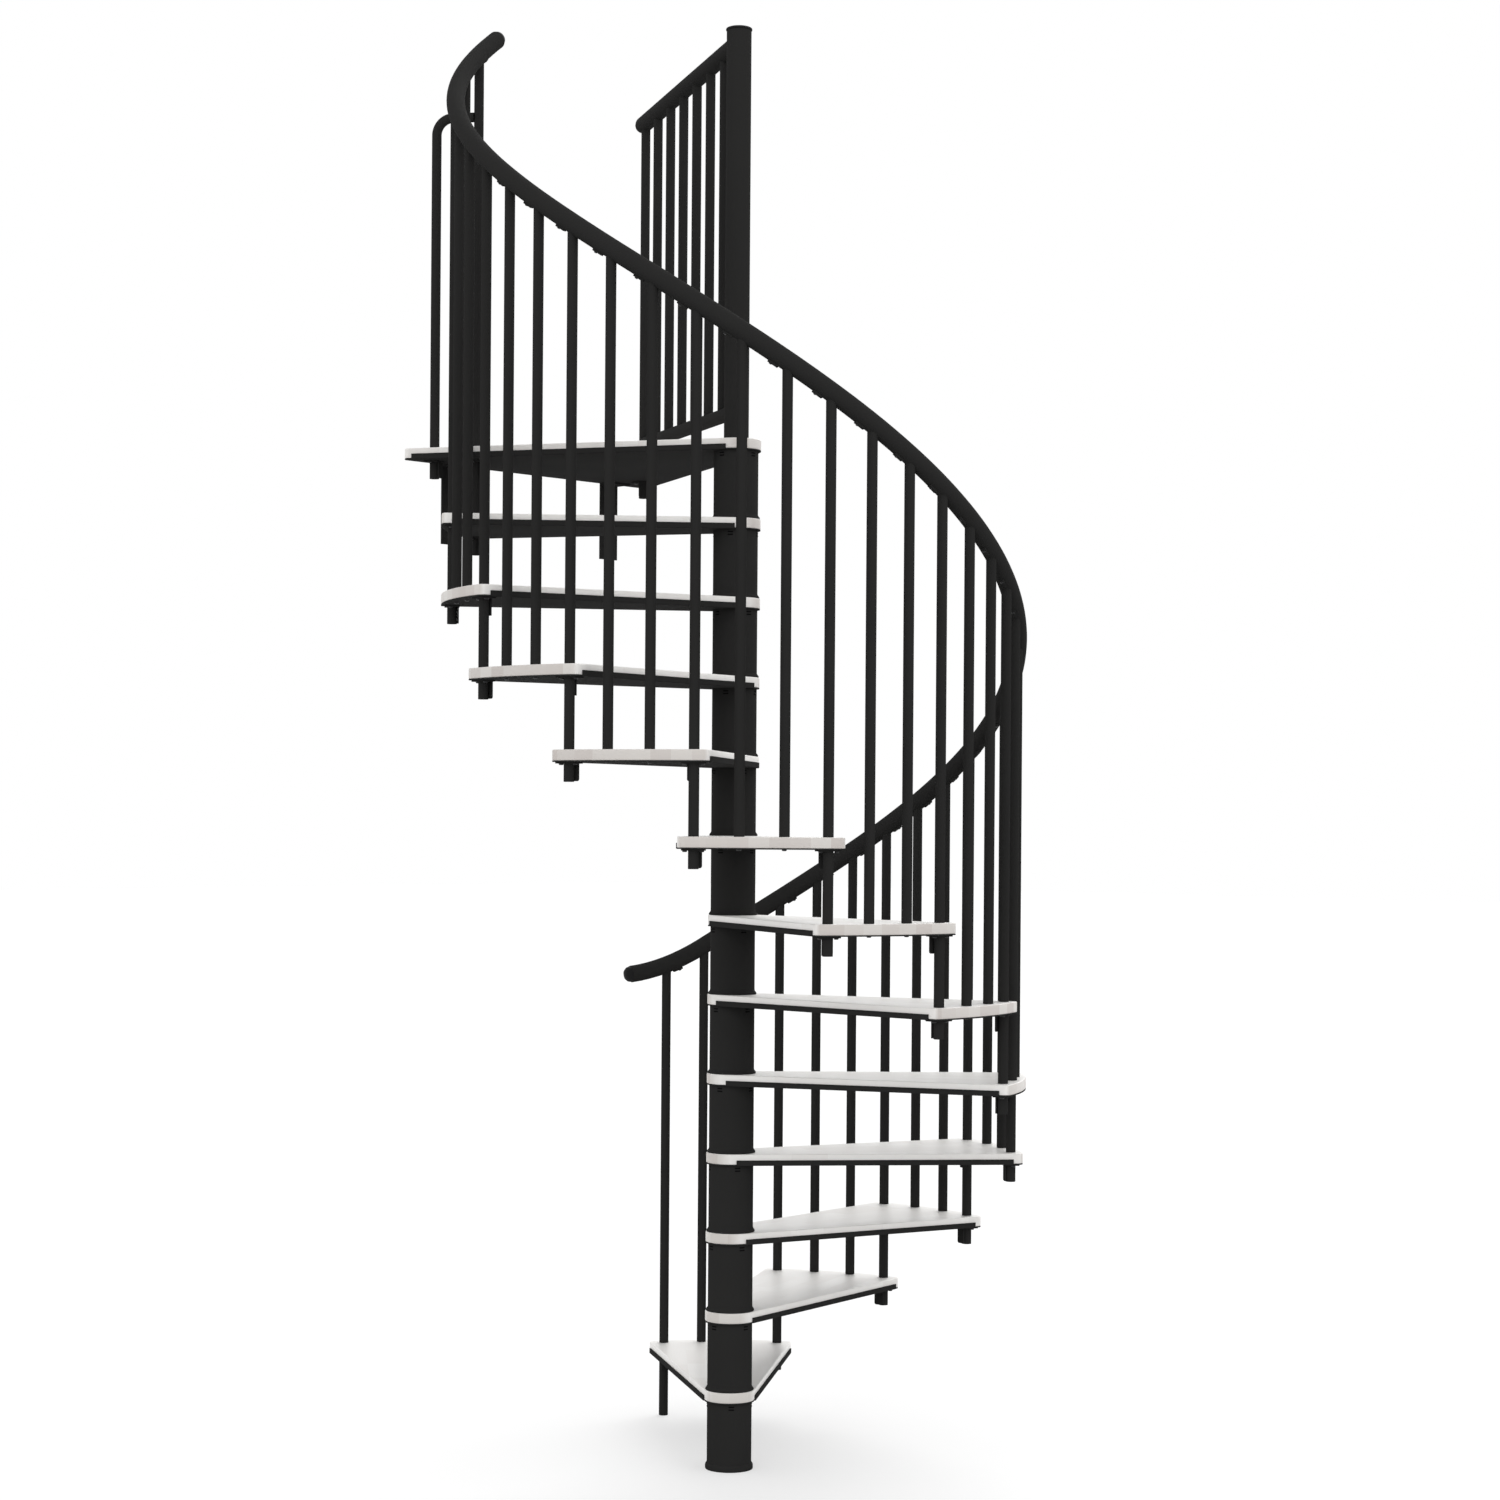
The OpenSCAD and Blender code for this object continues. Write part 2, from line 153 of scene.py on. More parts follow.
def stamp(target, part, matrix, keep=False):
    """Adds a placed copy of one bmesh to another."""
    shape = bpy.data.meshes.new("stamp")
    part.to_mesh(shape)
    before = len(target.verts)
    target.from_mesh(shape)
    target.verts.ensure_lookup_table()
    bmesh.ops.transform(target, matrix=matrix, verts=target.verts[before:])
    bpy.data.meshes.remove(shape)
    if not keep:
        part.free()


def finished(name, bm, finish, replaced=(), crease=38):
    """Makes the piece from its bmesh, with its finish and the nodes it replaces."""
    bmesh.ops.recalc_face_normals(bm, faces=bm.faces)
    mesh = bpy.data.meshes.new(name)
    bm.to_mesh(mesh)
    bm.free()
    mesh.shade_smooth()
    mesh.set_sharp_from_angle(angle=math.radians(crease))
    mesh.materials.append(finish)
    piece = bpy.data.objects.new(name, mesh)
    scene.collection.objects.link(piece)
    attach(piece, "root")
    if replaced:
        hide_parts(*replaced)
    return piece


flange = turned([(bore_r, flange_low.z, bore_round), (flange_r, flange_low.z, foot_round),
                 (flange_r, flange_high.z - shoulder_drop, shoulder_round),
                 (flange_r - shoulder_in, flange_high.z, 0),
                 (bore_r, flange_high.z, bore_round)], round_steps, True)
finished("foot_flange", flange, coated_steel, ["base_flange"])


# ---- Centre tube ----
# The steel tube that the whole stair is threaded on. It runs out of sight from the foot,
# through every spacer and tread, and a little way up inside the newel post.

def coat_node(name, finish):
    """Gives a piece that is kept as it was drawn its finish."""
    nodes[name].data.materials.clear()
    nodes[name].data.materials.append(finish)


coat_node("centre_tube", coated_steel)


# ---- Spacer tubes ----
# Powder-coated steel tubes that stack between the treads and carry them. Each but the
# lowest has a flared collar at its foot. Pairs of lugs near the top hold the tray, coloured
# near black as painted shade for the shade in their pressed recesses.

spacer_r = 0.061
spacer_wall = 0.003
collar_r = 0.066
collar_lip, collar_h = 0.0045, 0.0100
collar_foot_round, collar_lip_round, collar_top_round = 0.0016, 0.0020, 0.0030
tube_round = 0.0008
first_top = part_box("tread_board_1")[1].z
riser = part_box("tread_board_2")[1].z - first_top
tread_count = sum(name.startswith("tread_board_") for name in nodes)
landing_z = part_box("landing_board")[1].z
board_t = landing_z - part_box("landing_board")[0].z
sheet_t = 0.003
spacer_l = riser - board_t - sheet_t
first_l = spacer_l - (flange_high.z - flange_low.z)
lug_w, lug_h, lug_proud, lug_round = 0.015, 0.0034, 0.0008, 0.0005
lug_drop = 0.0075
lug_gap = 0.0074
# Painted shade: the lugs' near-black colours stand in for the shade in pressed recesses
lug_shade_black = (0.0030, 0.0030, 0.0032, 1)
lug_shade_tone = (0.0050, 0.0050, 0.0053, 1)
lug_turns = (-41, -1, -15, -29, 12, -3, -17, 9, -20, 21, -8, 30, 4)


def box_part(size, rounding, segments=2):
    """A rounded block about the origin."""
    part = bmesh.new()
    bmesh.ops.create_cube(part, size=1, matrix=Matrix.Diagonal((*size, 1)))
    if rounding:
        bmesh.ops.bevel(part, geom=part.edges[:], offset=rounding, offset_type="OFFSET",
                        segments=segments, profile=0.5, affect="EDGES", material=-1)
    return part


lug = box_part((2 * lug_proud, lug_w, lug_h), lug_round, 1)
lugs = bmesh.new()
spacers = bmesh.new()
for level in range(tread_count + 1):
    if level == 0:
        foot_z, length = flange_high.z, first_l
        foot = [(spacer_r, 0, 0)]
    else:
        foot_z, length = first_top + (level - 1) * riser, spacer_l
        foot = [(collar_r, 0, collar_foot_round), (collar_r, collar_lip, collar_lip_round),
                (spacer_r, collar_h, collar_top_round)]
    sleeve = turned([(spacer_r - spacer_wall, 0, 0), *foot, (spacer_r, length, tube_round),
                     (spacer_r - spacer_wall, length, 0)], round_steps, True)
    stamp(spacers, sleeve, Matrix.Translation((0, 0, foot_z)))
    for quarter in range(4):
        for drop in (0, lug_gap):
            turn = math.radians(lug_turns[level] + 90 * quarter)
            stamp(lugs, lug, Matrix.Rotation(turn, 4, "Z")
                  @ Matrix.Translation((spacer_r, 0, foot_z + length - lug_drop - drop)), True)
lug.free()
finished("spacer_tubes", spacers, coated_steel, ["pole_spacers"])
# The lugs' finish is painted shade: near black, standing in for the shade of pressed recesses
lug_painted_shade = black_finish("lug_painted_shade", lug_shade_black, lug_shade_tone, 0.85, 300, 0.1, 0.02)
finished("spacer_lugs", lugs, lug_painted_shade)


# ---- Trays ----
# Folded steel sheets, one under each tread, whose turned-up sides hold the board. They
# are threaded on the centre tube, clamped between the spacers, and powder coated.

for name in nodes:
    if "tray" in name:
        coat_node(name, coated_steel)


# ---- Treads ----
# Wedges of edge-glued solid wood in a pale limed lacquer, with softly rounded rims. The
# staves run outwards from the pole. Each board is let into its tray and screwed from below.

step_turn = math.radians(25.27)
ring_r = 0.068
tread_r = 0.800
corner_r = 0.018
edge_past = 0.040
baluster_r = 0.770
last_az = math.radians(205.3)
rim = 0.0028
flat_border = 0.0012
hole_steps = 32
ring_steps, corner_steps, outer_steps = 36, 8, 24
grain_along, grain_across = 1.7, 0.31
post_r = 0.0135
post_hole_r = post_r + 0.0003
screw_hole_r = 0.0035
side_turn = step_turn / 2 - math.asin((ring_r - edge_past) / baluster_r)
corner_az = side_turn + math.asin((ring_r - corner_r) / (tread_r - corner_r))
limed_light = (0.905, 0.892, 0.868, 1)
limed_dark = (0.800, 0.770, 0.742, 1)
# Colours for the boards' end faces: partly end grain's own darker tone, partly painted shade for
# the shaded ring ends
limed_ends_and_shade = (0.690, 0.652, 0.636, 1)
limed_ends_and_shade_pale = (0.785, 0.768, 0.752, 1)

# Staves: glued and finger-jointed strips of slightly different tone, faint growth rings and
# fine pores, all along X of Vector; faces cut across Grain Way are darker, partly as end grain
# and partly as painted shade for the shade on the board ends under the treads above
staves, given, out = effect(
    "staves",
    [("Vector", "Vector"), ("Grain Way", "Vector"), ("Light", "Color"), ("Dark", "Color"),
     ("Ends And Shade", "Color"), ("Ends And Shade Pale", "Color"), ("Stave Width", "Float"),
     ("Ring Spacing", "Float")],
    [("Colour", "Color"), ("Roughness", "Float"), ("Height", "Float")])
along = add(staves, "SeparateXYZ", {"Vector": given.outputs["Vector"]})
across = add(staves, "Math", {0: along.outputs["Y"], 1: given.outputs["Stave Width"]},
             operation="DIVIDE")
stave = add(staves, "Math", {0: across.outputs[0]}, operation="FLOOR")
chance = add(staves, "TexWhiteNoise", {"W": stave.outputs[0]}, noise_dimensions="1D")
shifted = add(staves, "Math", {0: along.outputs["X"], 1: 4.5, 2: chance.outputs["Value"]},
              operation="MULTIPLY_ADD")
block = add(staves, "Math", {0: shifted.outputs[0]}, operation="FLOOR")
block_place = add(staves, "CombineXYZ", {"X": block.outputs[0], "Y": stave.outputs[0]})
block_chance = add(staves, "TexWhiteNoise", {"Vector": block_place.outputs[0]},
                   noise_dimensions="2D")
heart = add(staves, "VectorMath", {0: block_chance.outputs["Color"], 1: (0.0, 0.30, 0.16)},
            operation="MULTIPLY")
centred = add(staves, "VectorMath", {0: given.outputs["Vector"], 1: heart.outputs[0]})
off_heart = add(staves, "VectorMath", {0: centred.outputs[0], 1: (0.0, -0.15, 0.03)})
bow = add(staves, "Mapping", {"Vector": given.outputs["Vector"], "Scale": (1.1, 7, 7)})
wander = add(staves, "TexNoise", {"Vector": bow.outputs[0], "Scale": 1, "Detail": 2})
squashed = add(staves, "VectorMath", {0: off_heart.outputs[0], 1: (0.02, 1, 1)},
               operation="MULTIPLY")
heart_far = add(staves, "VectorMath", {0: squashed.outputs[0]}, operation="LENGTH")
wandered = add(staves, "Math", {0: wander.outputs["Fac"], 1: 0.020,
                                2: heart_far.outputs["Value"]}, operation="MULTIPLY_ADD")
years = add(staves, "Math", {0: wandered.outputs[0], 1: given.outputs["Ring Spacing"]},
            operation="DIVIDE")
season = add(staves, "Math", {0: years.outputs[0]}, operation="FRACT")
late_wood = add(staves, "Math", {0: season.outputs[0], 1: 2.5}, operation="POWER")
pore_place = add(staves, "Mapping", {"Vector": given.outputs["Vector"], "Scale": (9, 320, 320)})
pores = add(staves, "TexNoise", {"Vector": pore_place.outputs[0], "Scale": 1, "Detail": 3})
pore_marks = add(staves, "MapRange", {"Value": pores.outputs["Fac"], "From Min": 0.56,
                                      "From Max": 0.74, "To Min": 0, "To Max": 1})
stave_side = add(staves, "Math", {0: across.outputs[0]}, operation="FRACT")
stave_mid = add(staves, "Math", {0: stave_side.outputs[0], 1: 0.5}, operation="SUBTRACT")
stave_edge = add(staves, "Math", {0: stave_mid.outputs[0]}, operation="ABSOLUTE")
glue_line = add(staves, "MapRange", {"Value": stave_edge.outputs[0], "From Min": 0.488,
                                     "From Max": 0.5, "To Min": 0, "To Max": 1})
ring_part = add(staves, "Math", {0: late_wood.outputs[0], 1: 0.07}, operation="MULTIPLY")
pore_part = add(staves, "Math", {0: pore_marks.outputs[0], 1: 0.10, 2: ring_part.outputs[0]},
                operation="MULTIPLY_ADD")
stave_part = add(staves, "Math", {0: block_chance.outputs["Value"], 1: 0.45,
                                  2: pore_part.outputs[0]}, operation="MULTIPLY_ADD")
figure = add(staves, "Math", {0: glue_line.outputs[0], 1: 0.16, 2: stave_part.outputs[0]},
             operation="MULTIPLY_ADD")
timber = add(staves, "Mix", {0: figure.outputs[0], 6: given.outputs["Light"],
                             7: given.outputs["Dark"]}, data_type="RGBA")
facing = add(staves, "NewGeometry", {})
cut_across = add(staves, "VectorMath", {0: facing.outputs["Normal"], 1: given.outputs["Grain Way"]},
                 operation="DOT_PRODUCT")
end_facing = add(staves, "Math", {0: cut_across.outputs["Value"]}, operation="ABSOLUTE")
# Faces cut across the grain darken: partly end grain, partly painted shade for the shaded ring ends
ends_and_shade_mask = add(staves, "MapRange", {"Value": end_facing.outputs[0], "From Min": 0.30, "From Max": 0.75,
                                "To Min": 0, "To Max": 1})
ends_and_shade_tone = add(staves, "Mix", {0: block_chance.outputs["Value"], 6: given.outputs["Ends And Shade Pale"],
                                7: given.outputs["Ends And Shade"]}, data_type="RGBA")
timber_ends_and_shade = add(staves, "Mix", {0: ends_and_shade_mask.outputs[0], 6: timber.outputs[2],
                                 7: ends_and_shade_tone.outputs[2]}, data_type="RGBA",
                 blend_type="MULTIPLY")
dryness = add(staves, "MapRange", {"Value": figure.outputs[0], "From Min": 0, "From Max": 1,
                                   "To Min": 0.36, "To Max": 0.56})
sunk = add(staves, "Math", {0: 1.0, 1: figure.outputs[0]}, operation="SUBTRACT")
staves.links.new(timber_ends_and_shade.outputs[2], out.inputs["Colour"])
staves.links.new(dryness.outputs[0], out.inputs["Roughness"])
staves.links.new(sunk.outputs[0], out.inputs["Height"])

limed_wood = bpy.data.materials.new("limed_wood")
limed_wood.use_nodes = True
wood_tree = limed_wood.node_tree
wood_shader = wood_tree.nodes["Principled BSDF"]
grain_place = add(wood_tree, "Attribute", {}, attribute_name="grain")
grain_way = add(wood_tree, "Attribute", {}, attribute_name="grain_way")
wood_effect = add(wood_tree, "Group", {}, node_tree=staves)
wood_tree.links.new(grain_place.outputs["Vector"], wood_effect.inputs["Vector"])
wood_tree.links.new(grain_way.outputs["Vector"], wood_effect.inputs["Grain Way"])
wood_effect.inputs["Light"].default_value = limed_light
wood_effect.inputs["Dark"].default_value = limed_dark
wood_effect.inputs["Ends And Shade"].default_value = limed_ends_and_shade
wood_effect.inputs["Ends And Shade Pale"].default_value = limed_ends_and_shade_pale
wood_effect.inputs["Stave Width"].default_value = 0.052
wood_effect.inputs["Ring Spacing"].default_value = 0.0065
wood_relief = add(wood_tree, "Bump", {"Height": wood_effect.outputs["Height"],
                                      "Strength": 0.25, "Distance": 0.0003})
wood_tree.links.new(wood_effect.outputs["Colour"], wood_shader.inputs["Base Color"])
wood_tree.links.new(wood_effect.outputs["Roughness"], wood_shader.inputs["Roughness"])
wood_tree.links.new(wood_relief.outputs["Normal"], wood_shader.inputs["Normal"])
wood_shader.inputs["Specular IOR Level"].default_value = 0.5


def direction(angle, length=1.0):
    return Vector((length * math.cos(angle), length * math.sin(angle), 0))


def board(arcs, thickness, holes, grain_shift, placed):
    """A drilled board: (middle, radius, start, turn, steps) arcs joined by straight sides.

    It is shaped lying at the origin with its grain along X, then moved by placed."""
    bm = bmesh.new()
    ends = []
    for middle, radius, start, turn, steps in arcs:
        first = bm.verts.new(middle + direction(start, radius))
        swept = bmesh.ops.spin(bm, geom=[first], cent=middle, axis=Z_AXIS, dvec=(0, 0, 0),
                               angle=turn, steps=steps)["geom_last"]
        ends.append((first, [g for g in swept if isinstance(g, bmesh.types.BMVert)][0]))
    for (_, last), (first, _) in zip(ends, ends[1:] + ends[:1]):
        if (last.co - first.co).length > 1e-5:
            bm.edges.new((last, first))
    bmesh.ops.remove_doubles(bm, verts=bm.verts, dist=1e-5)
    under = bmesh.ops.contextual_create(bm, geom=bm.edges[:])["faces"][0]
    grown = bmesh.ops.extrude_face_region(bm, geom=[under], use_keep_orig=True)["geom"]
    top = [g for g in grown if isinstance(g, bmesh.types.BMFace)][0]
    bmesh.ops.translate(bm, verts=top.verts[:], vec=(0, 0, thickness))
    bmesh.ops.bevel(bm, geom=top.edges[:] + under.edges[:], offset=rim, offset_type="OFFSET",
                    segments=3, profile=0.5, affect="EDGES", material=-1)
    caps = sorted(bm.faces, key=lambda face: face.calc_area())[-2:]
    bmesh.ops.inset_region(bm, faces=caps, thickness=flat_border, use_even_offset=True)
    caps = sorted(bm.faces, key=lambda face: face.calc_area())[-2:]
    borders = [list(cap.edges) for cap in caps]
    levels = [cap.verts[0].co.z for cap in caps]
    bmesh.ops.delete(bm, geom=caps, context="FACES_ONLY")
    walls = []
    for middle, radius in holes:
        wall = []
        for border, level in zip(borders, levels):
            circle = bmesh.ops.create_circle(
                bm, segments=hole_steps, radius=radius,
                matrix=Matrix.Translation(middle + Vector((0, 0, level))))["verts"]
            edges = list({edge for vert in circle for edge in vert.link_edges})
            border.extend(edges)
            wall.extend(edges)
        walls.append(wall)
    for border in borders:
        bmesh.ops.triangle_fill(bm, use_beauty=True, use_dissolve=False, edges=border)
    for wall in walls:
        bmesh.ops.bridge_loops(bm, edges=wall)
    grain = bm.verts.layers.float_vector.new("grain")
    grain_way = bm.verts.layers.float_vector.new("grain_way")
    for vert in bm.verts:
        vert[grain] = vert.co + grain_shift
        vert[grain_way] = placed.to_3x3() @ X_AXIS
    bmesh.ops.transform(bm, verts=bm.verts, matrix=placed)
    return bm


tread_arcs = [
    (Vector(), ring_r, math.pi / 2 + side_turn, math.pi - 2 * side_turn, ring_steps),
    (direction(-corner_az, tread_r - corner_r), corner_r, -math.pi / 2 - side_turn,
     math.pi / 2 + side_turn - corner_az, corner_steps),
    (Vector(), tread_r, -corner_az, 2 * corner_az, outer_steps),
    (direction(corner_az, tread_r - corner_r), corner_r, corner_az,
     math.pi / 2 + side_turn - corner_az, corner_steps)]
tread_holes = [(Vector(), bore_r)]
tread_holes += [(direction(side * step_turn / 2, baluster_r), post_hole_r) for side in (-1, 1)]
tread_holes += [(direction(side * step_turn / 6, baluster_r), screw_hole_r) for side in (-1, 1)]
for number in range(1, tread_count + 1):
    node_name = f"tread_board_{number}"
    tread_az = last_az + (tread_count - number + 0.5) * step_turn
    tread = board(tread_arcs, board_t, tread_holes,
                  Vector((grain_along * number, grain_across * number, 0)),
                  Matrix.Translation((0, 0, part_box(node_name)[0].z))
                  @ Matrix.Rotation(tread_az, 4, "Z"))
    finished(f"tread_{number}", tread, limed_wood, [node_name])


# ---- Landing ----
# A larger board of the same limed wood, cut so that its long straight side meets the
# floor above. It is the last piece on the pole, under the newel post.

landing_x = -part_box("landing_board")[0].x
guard_az = math.radians(154.2)
entry_az = math.radians(206.2)
guard_inset = 0.145
guard_r = landing_x / -math.cos(guard_az) - guard_inset
corner_inset = 0.046
corner_x = corner_inset - landing_x
corner_rail_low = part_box("corner_rail")[0]
corner_y = corner_rail_low.y + post_r
landing_corner_steps, landing_ring_steps = 10, 24


def landing_corner(az, turn):
    """Middle of the rounded corner between a landing side and the straight outer side."""
    inset = direction(az + turn, ring_r - corner_r)
    run = (corner_r - landing_x - inset.x) / math.cos(az)
    return inset + direction(az, run)


landing_arcs = [
    (landing_corner(guard_az, -math.pi / 2), corner_r, guard_az - math.pi / 2,
     1.5 * math.pi - guard_az, landing_corner_steps),
    (landing_corner(entry_az, math.pi / 2), corner_r, math.pi, entry_az - math.pi / 2,
     landing_corner_steps),
    (Vector(), ring_r, entry_az + math.pi / 2, guard_az - entry_az + math.pi,
     landing_ring_steps)]
landing_holes = [(Vector(), bore_r), (direction(last_az, baluster_r), post_hole_r),
                 (direction(guard_az, guard_r), post_hole_r),
                 (Vector((corner_x, corner_y, 0)), post_hole_r)]
landing = board(landing_arcs, board_t, landing_holes, Vector((0.4, 0.02, 0)),
                Matrix.Translation((0, 0, landing_z - board_t)))
finished("landing", landing, limed_wood, ["landing_board"])


# ---- Newel post ----
# A steel tube that slips over the top of the centre tube and stands on the landing. A
# moulded black cap closes it and hides the nut that clamps the whole pole together.

newel_low, newel_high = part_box("newel_post")
newel_r = newel_high.x
newel_wall = newel_r - bore_r
cap_low, cap_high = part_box("newel_cap")
cap_r = cap_high.x
newel_round = 0.0006
cap_drop, cap_in, cap_rim_round, cap_top_round = 0.0028, 0.006, 0.0020, 0.0030
plastic_black = (0.0125, 0.0125, 0.0128, 1)
plastic_sheen = (0.0175, 0.0175, 0.0178, 1)

newel = turned([(newel_r - newel_wall, newel_low.z, 0), (newel_r, newel_low.z, newel_round),
                (newel_r, newel_high.z, newel_round), (newel_r - newel_wall, newel_high.z, 0)],
               round_steps, True)
finished("newel_tube", newel, coated_steel, ["newel_post"])
moulded_black = black_finish("moulded_black", plastic_black, plastic_sheen, 0.62, 900, 0.2, 0.08)
cap = turned([(0, cap_low.z, 0), (cap_r, cap_low.z, newel_round),
              (cap_r, cap_high.z - cap_drop, cap_rim_round),
              (cap_r - cap_in, cap_high.z, cap_top_round), (0, cap_high.z, 0)],
             round_steps, False)
finished("newel_lid", cap, moulded_black, ["newel_cap"])


# ---- Handrail ----
# A round tube bent to the stair's helix and covered in smooth matt black. Its first end
# is eased towards the level, and clips on the balusters' tops are screwed to its underside.

rail_r = 0.025
rail_h = 1.110
rail_ease = 0.059
first_rail, last_rail = -0.98, 3 * tread_count + 0.94
rail_steps = 160
rail_sides = 32
spacing = step_turn / 3


def baluster_az(k):
    return last_az + (tread_count - k / 3) * step_turn


def rail_z(k):
    eased = rail_ease * ((1 - k) / 2) ** 2 if k < 1 else 0
    return riser * (1 + k / 3) + rail_h + eased


def rail_slope(k):
    return math.atan2(rail_z(k + 0.1) - rail_z(k - 0.1), 0.2 * spacing * baluster_r)


def rail_frame(k):
    """At baluster k's top: X outwards, -Y up along the rail and Z away from its underside."""
    place = direction(baluster_az(k), baluster_r) + Vector((0, 0, rail_z(k)))
    return (Matrix.Translation(place) @ Matrix.Rotation(baluster_az(k), 4, "Z")
            @ Matrix.Rotation(-rail_slope(k), 4, "X"))


rail = bmesh.new()
loops = []
for step in range(rail_steps + 1):
    k = first_rail + (last_rail - first_rail) * step / rail_steps
    circle = bmesh.ops.create_circle(
        rail, segments=rail_sides, radius=rail_r,
        matrix=rail_frame(k) @ Matrix.Rotation(math.pi / 2, 4, "X"))["verts"]
    loops.append(list({edge for vert in circle for edge in vert.link_edges}))
for lower, upper in zip(loops, loops[1:]):
    bmesh.ops.bridge_loops(rail, edges=lower + upper)
for end in (loops[0], loops[-1]):
    bmesh.ops.edgeloop_fill(rail, edges=end)
finished("hand_rail", rail, coated_steel, ["handrail"])


# ---- Handrail ends ----
# Domed plugs moulded in black plastic, one in each open end of the handrail's tube. Each
# has a neck that is pushed into the tube, and a thin rim that hides the sawn edge.

neck_r, neck_l = 0.021, 0.010
plug_rim_r, plug_rim_round = rail_r - 0.0006, 0.0005
plug_r, plug_foot, plug_l, plug_round = rail_r - 0.0015, 0.0010, 0.0210, 0.0190

plugs = bmesh.new()
plug = turned([(neck_r, -neck_l, 0), (neck_r, 0, 0), (plug_rim_r, 0, plug_rim_round),
               (plug_r, plug_foot, 0), (plug_r, plug_l, plug_round), (0, plug_l, 0)],
              rail_sides, False)
stamp(plugs, plug, rail_frame(first_rail) @ Matrix.Rotation(-math.pi / 2, 4, "X"), True)
stamp(plugs, plug, rail_frame(last_rail) @ Matrix.Rotation(math.pi / 2, 4, "X"))
finished("rail_plugs", plugs, moulded_black, ["handrail_ends"])


# ---- Balusters of the flight ----
# Straight steel tubes in the same black coat. Every third one runs down through two
# overlapping treads and ties them together; the others stand on a tread.

stub_drop = 0.081
tube_steps = 28
post_foot_round = 0.0012
rail_bite = 0.005


def tube(target, top, foot, radius, cut=None):
    """A plumb tube between two points, its foot softly rounded, its top cut to a slope."""
    part = bmesh.new()
    height = top.z - foot.z
    bmesh.ops.create_cone(part, cap_ends=True, segments=tube_steps, radius1=radius,
                          radius2=radius, depth=height,
                          matrix=Matrix.Translation(foot + Vector((0, 0, height / 2))))
    foot_rim = [edge for edge in part.edges
                if all(abs(vert.co.z - foot.z) < 1e-6 for vert in edge.verts)]
    bmesh.ops.bevel(part, geom=foot_rim, offset=post_foot_round, offset_type="OFFSET",
                    segments=2, profile=0.5, affect="EDGES", material=-1)
    if cut:
        sliced = bmesh.ops.bisect_plane(
            part, geom=part.verts[:] + part.edges[:] + part.faces[:], plane_co=cut[0],
            plane_no=cut[1], clear_outer=True)["geom_cut"]
        bmesh.ops.edgeloop_fill(part, edges=[g for g in sliced
                                             if isinstance(g, bmesh.types.BMEdge)])
    stamp(target, part, Matrix())


def flight_baluster(target, k, foot_z):
    """Baluster k of the flight, from foot_z up to the slope of the rail's underside."""
    at_rail = rail_frame(k)
    foot = direction(baluster_az(k), baluster_r) + Vector((0, 0, foot_z))
    under = at_rail @ Vector((0, 0, rail_bite - rail_r))
    up = at_rail.to_3x3() @ Z_AXIS
    tube(target, foot + Vector((0, 0, rail_z(k) - foot_z)), foot, post_r, (under, up))


corner_posts = bmesh.new()
for level in range(tread_count + 1):
    foot_z = 0 if level == 0 else first_top + (level - 1) * riser - stub_drop
    flight_baluster(corner_posts, 3 * level, foot_z)
finished("corner_posts", corner_posts, coated_steel, ["corner_balusters"])

middle_posts = bmesh.new()
for level in range(tread_count):
    for k in (3 * level + 1, 3 * level + 2):
        flight_baluster(middle_posts, k, first_top + level * riser)
finished("middle_posts", middle_posts, coated_steel, ["middle_balusters"])


# ---- Clips under the handrail ----
# Small steel tongues on the uphill side of each baluster's top, coated black, with a
# screw up into the rail.

clip_l, clip_w, clip_t, clip_round = 0.030, 0.012, 0.006, 0.0012
clip_bite, clip_sink, clip_screw_off = 0.001, 0.002, 0.006
screw_black = (0.010, 0.010, 0.011, 1)
screw_sheen = (0.022, 0.022, 0.024, 1)
zinc_black = black_finish("zinc_black", screw_black, screw_sheen, 0.42, 300, 0.1, 0.3)


def screw_head(head_r, head_h, rounding, socket_r, socket_floor, steps):
    """A rounded screw head standing on the sheet, with a sunk socket."""
    return turned([(0, socket_floor, 0), (socket_r, socket_floor, 0), (socket_r, head_h, 0),
                   (head_r, head_h, rounding), (head_r, 0, 0)], steps, False)


clip = box_part((clip_w, clip_l, clip_t), clip_round)
clips = bmesh.new()
small_screw = screw_head(0.0042, 0.0026, 0.0016, 0.0014, 0.0012, 10)
clip_screws = bmesh.new()
for k in range(3 * tread_count + 1):
    at_rail = rail_frame(k)
    middle = Vector((0, clip_bite - post_r - clip_l / 2, clip_sink - rail_r - clip_t / 2))
    stamp(clips, clip, at_rail @ Matrix.Translation(middle), True)
    head = middle + Vector((0, -clip_screw_off, -clip_t / 2))
    stamp(clip_screws, small_screw, at_rail @ Matrix.Translation(head)
          @ Matrix.Rotation(math.pi, 4, "X"), True)
clip.free()
finished("rail_clips", clips, coated_steel, ["handrail_clips"])
finished("clip_screws", clip_screws, zinc_black)


# ---- Brackets under the treads ----
# Bent steel angles that grip each corner baluster below the lower tread and are screwed
# up through the tray into the board. A washer-headed screw holds each middle baluster.

coat_node("baluster_brackets", coated_steel)

screw = screw_head(0.0062, 0.0038, 0.0024, 0.0020, 0.0016, 12)
bracket_t = 0.004
bracket_reach, bracket_screw_out = 0.0215, 0.004
under_screws = bmesh.new()
tray_z = -board_t - sheet_t
facing_down = Matrix.Rotation(math.pi, 4, "X")


def bracket_screws(place, az, height):
    """Two screws beside the baluster, up into the bracket's foot."""
    for side in (-1, 1):
        spot = Matrix.Translation((bracket_screw_out, side * bracket_reach, 0))
        foot = Matrix.Translation(place + Vector((0, 0, height + tray_z - bracket_t)))
        stamp(under_screws, screw, foot @ Matrix.Rotation(az, 4, "Z") @ spot @ facing_down, True)


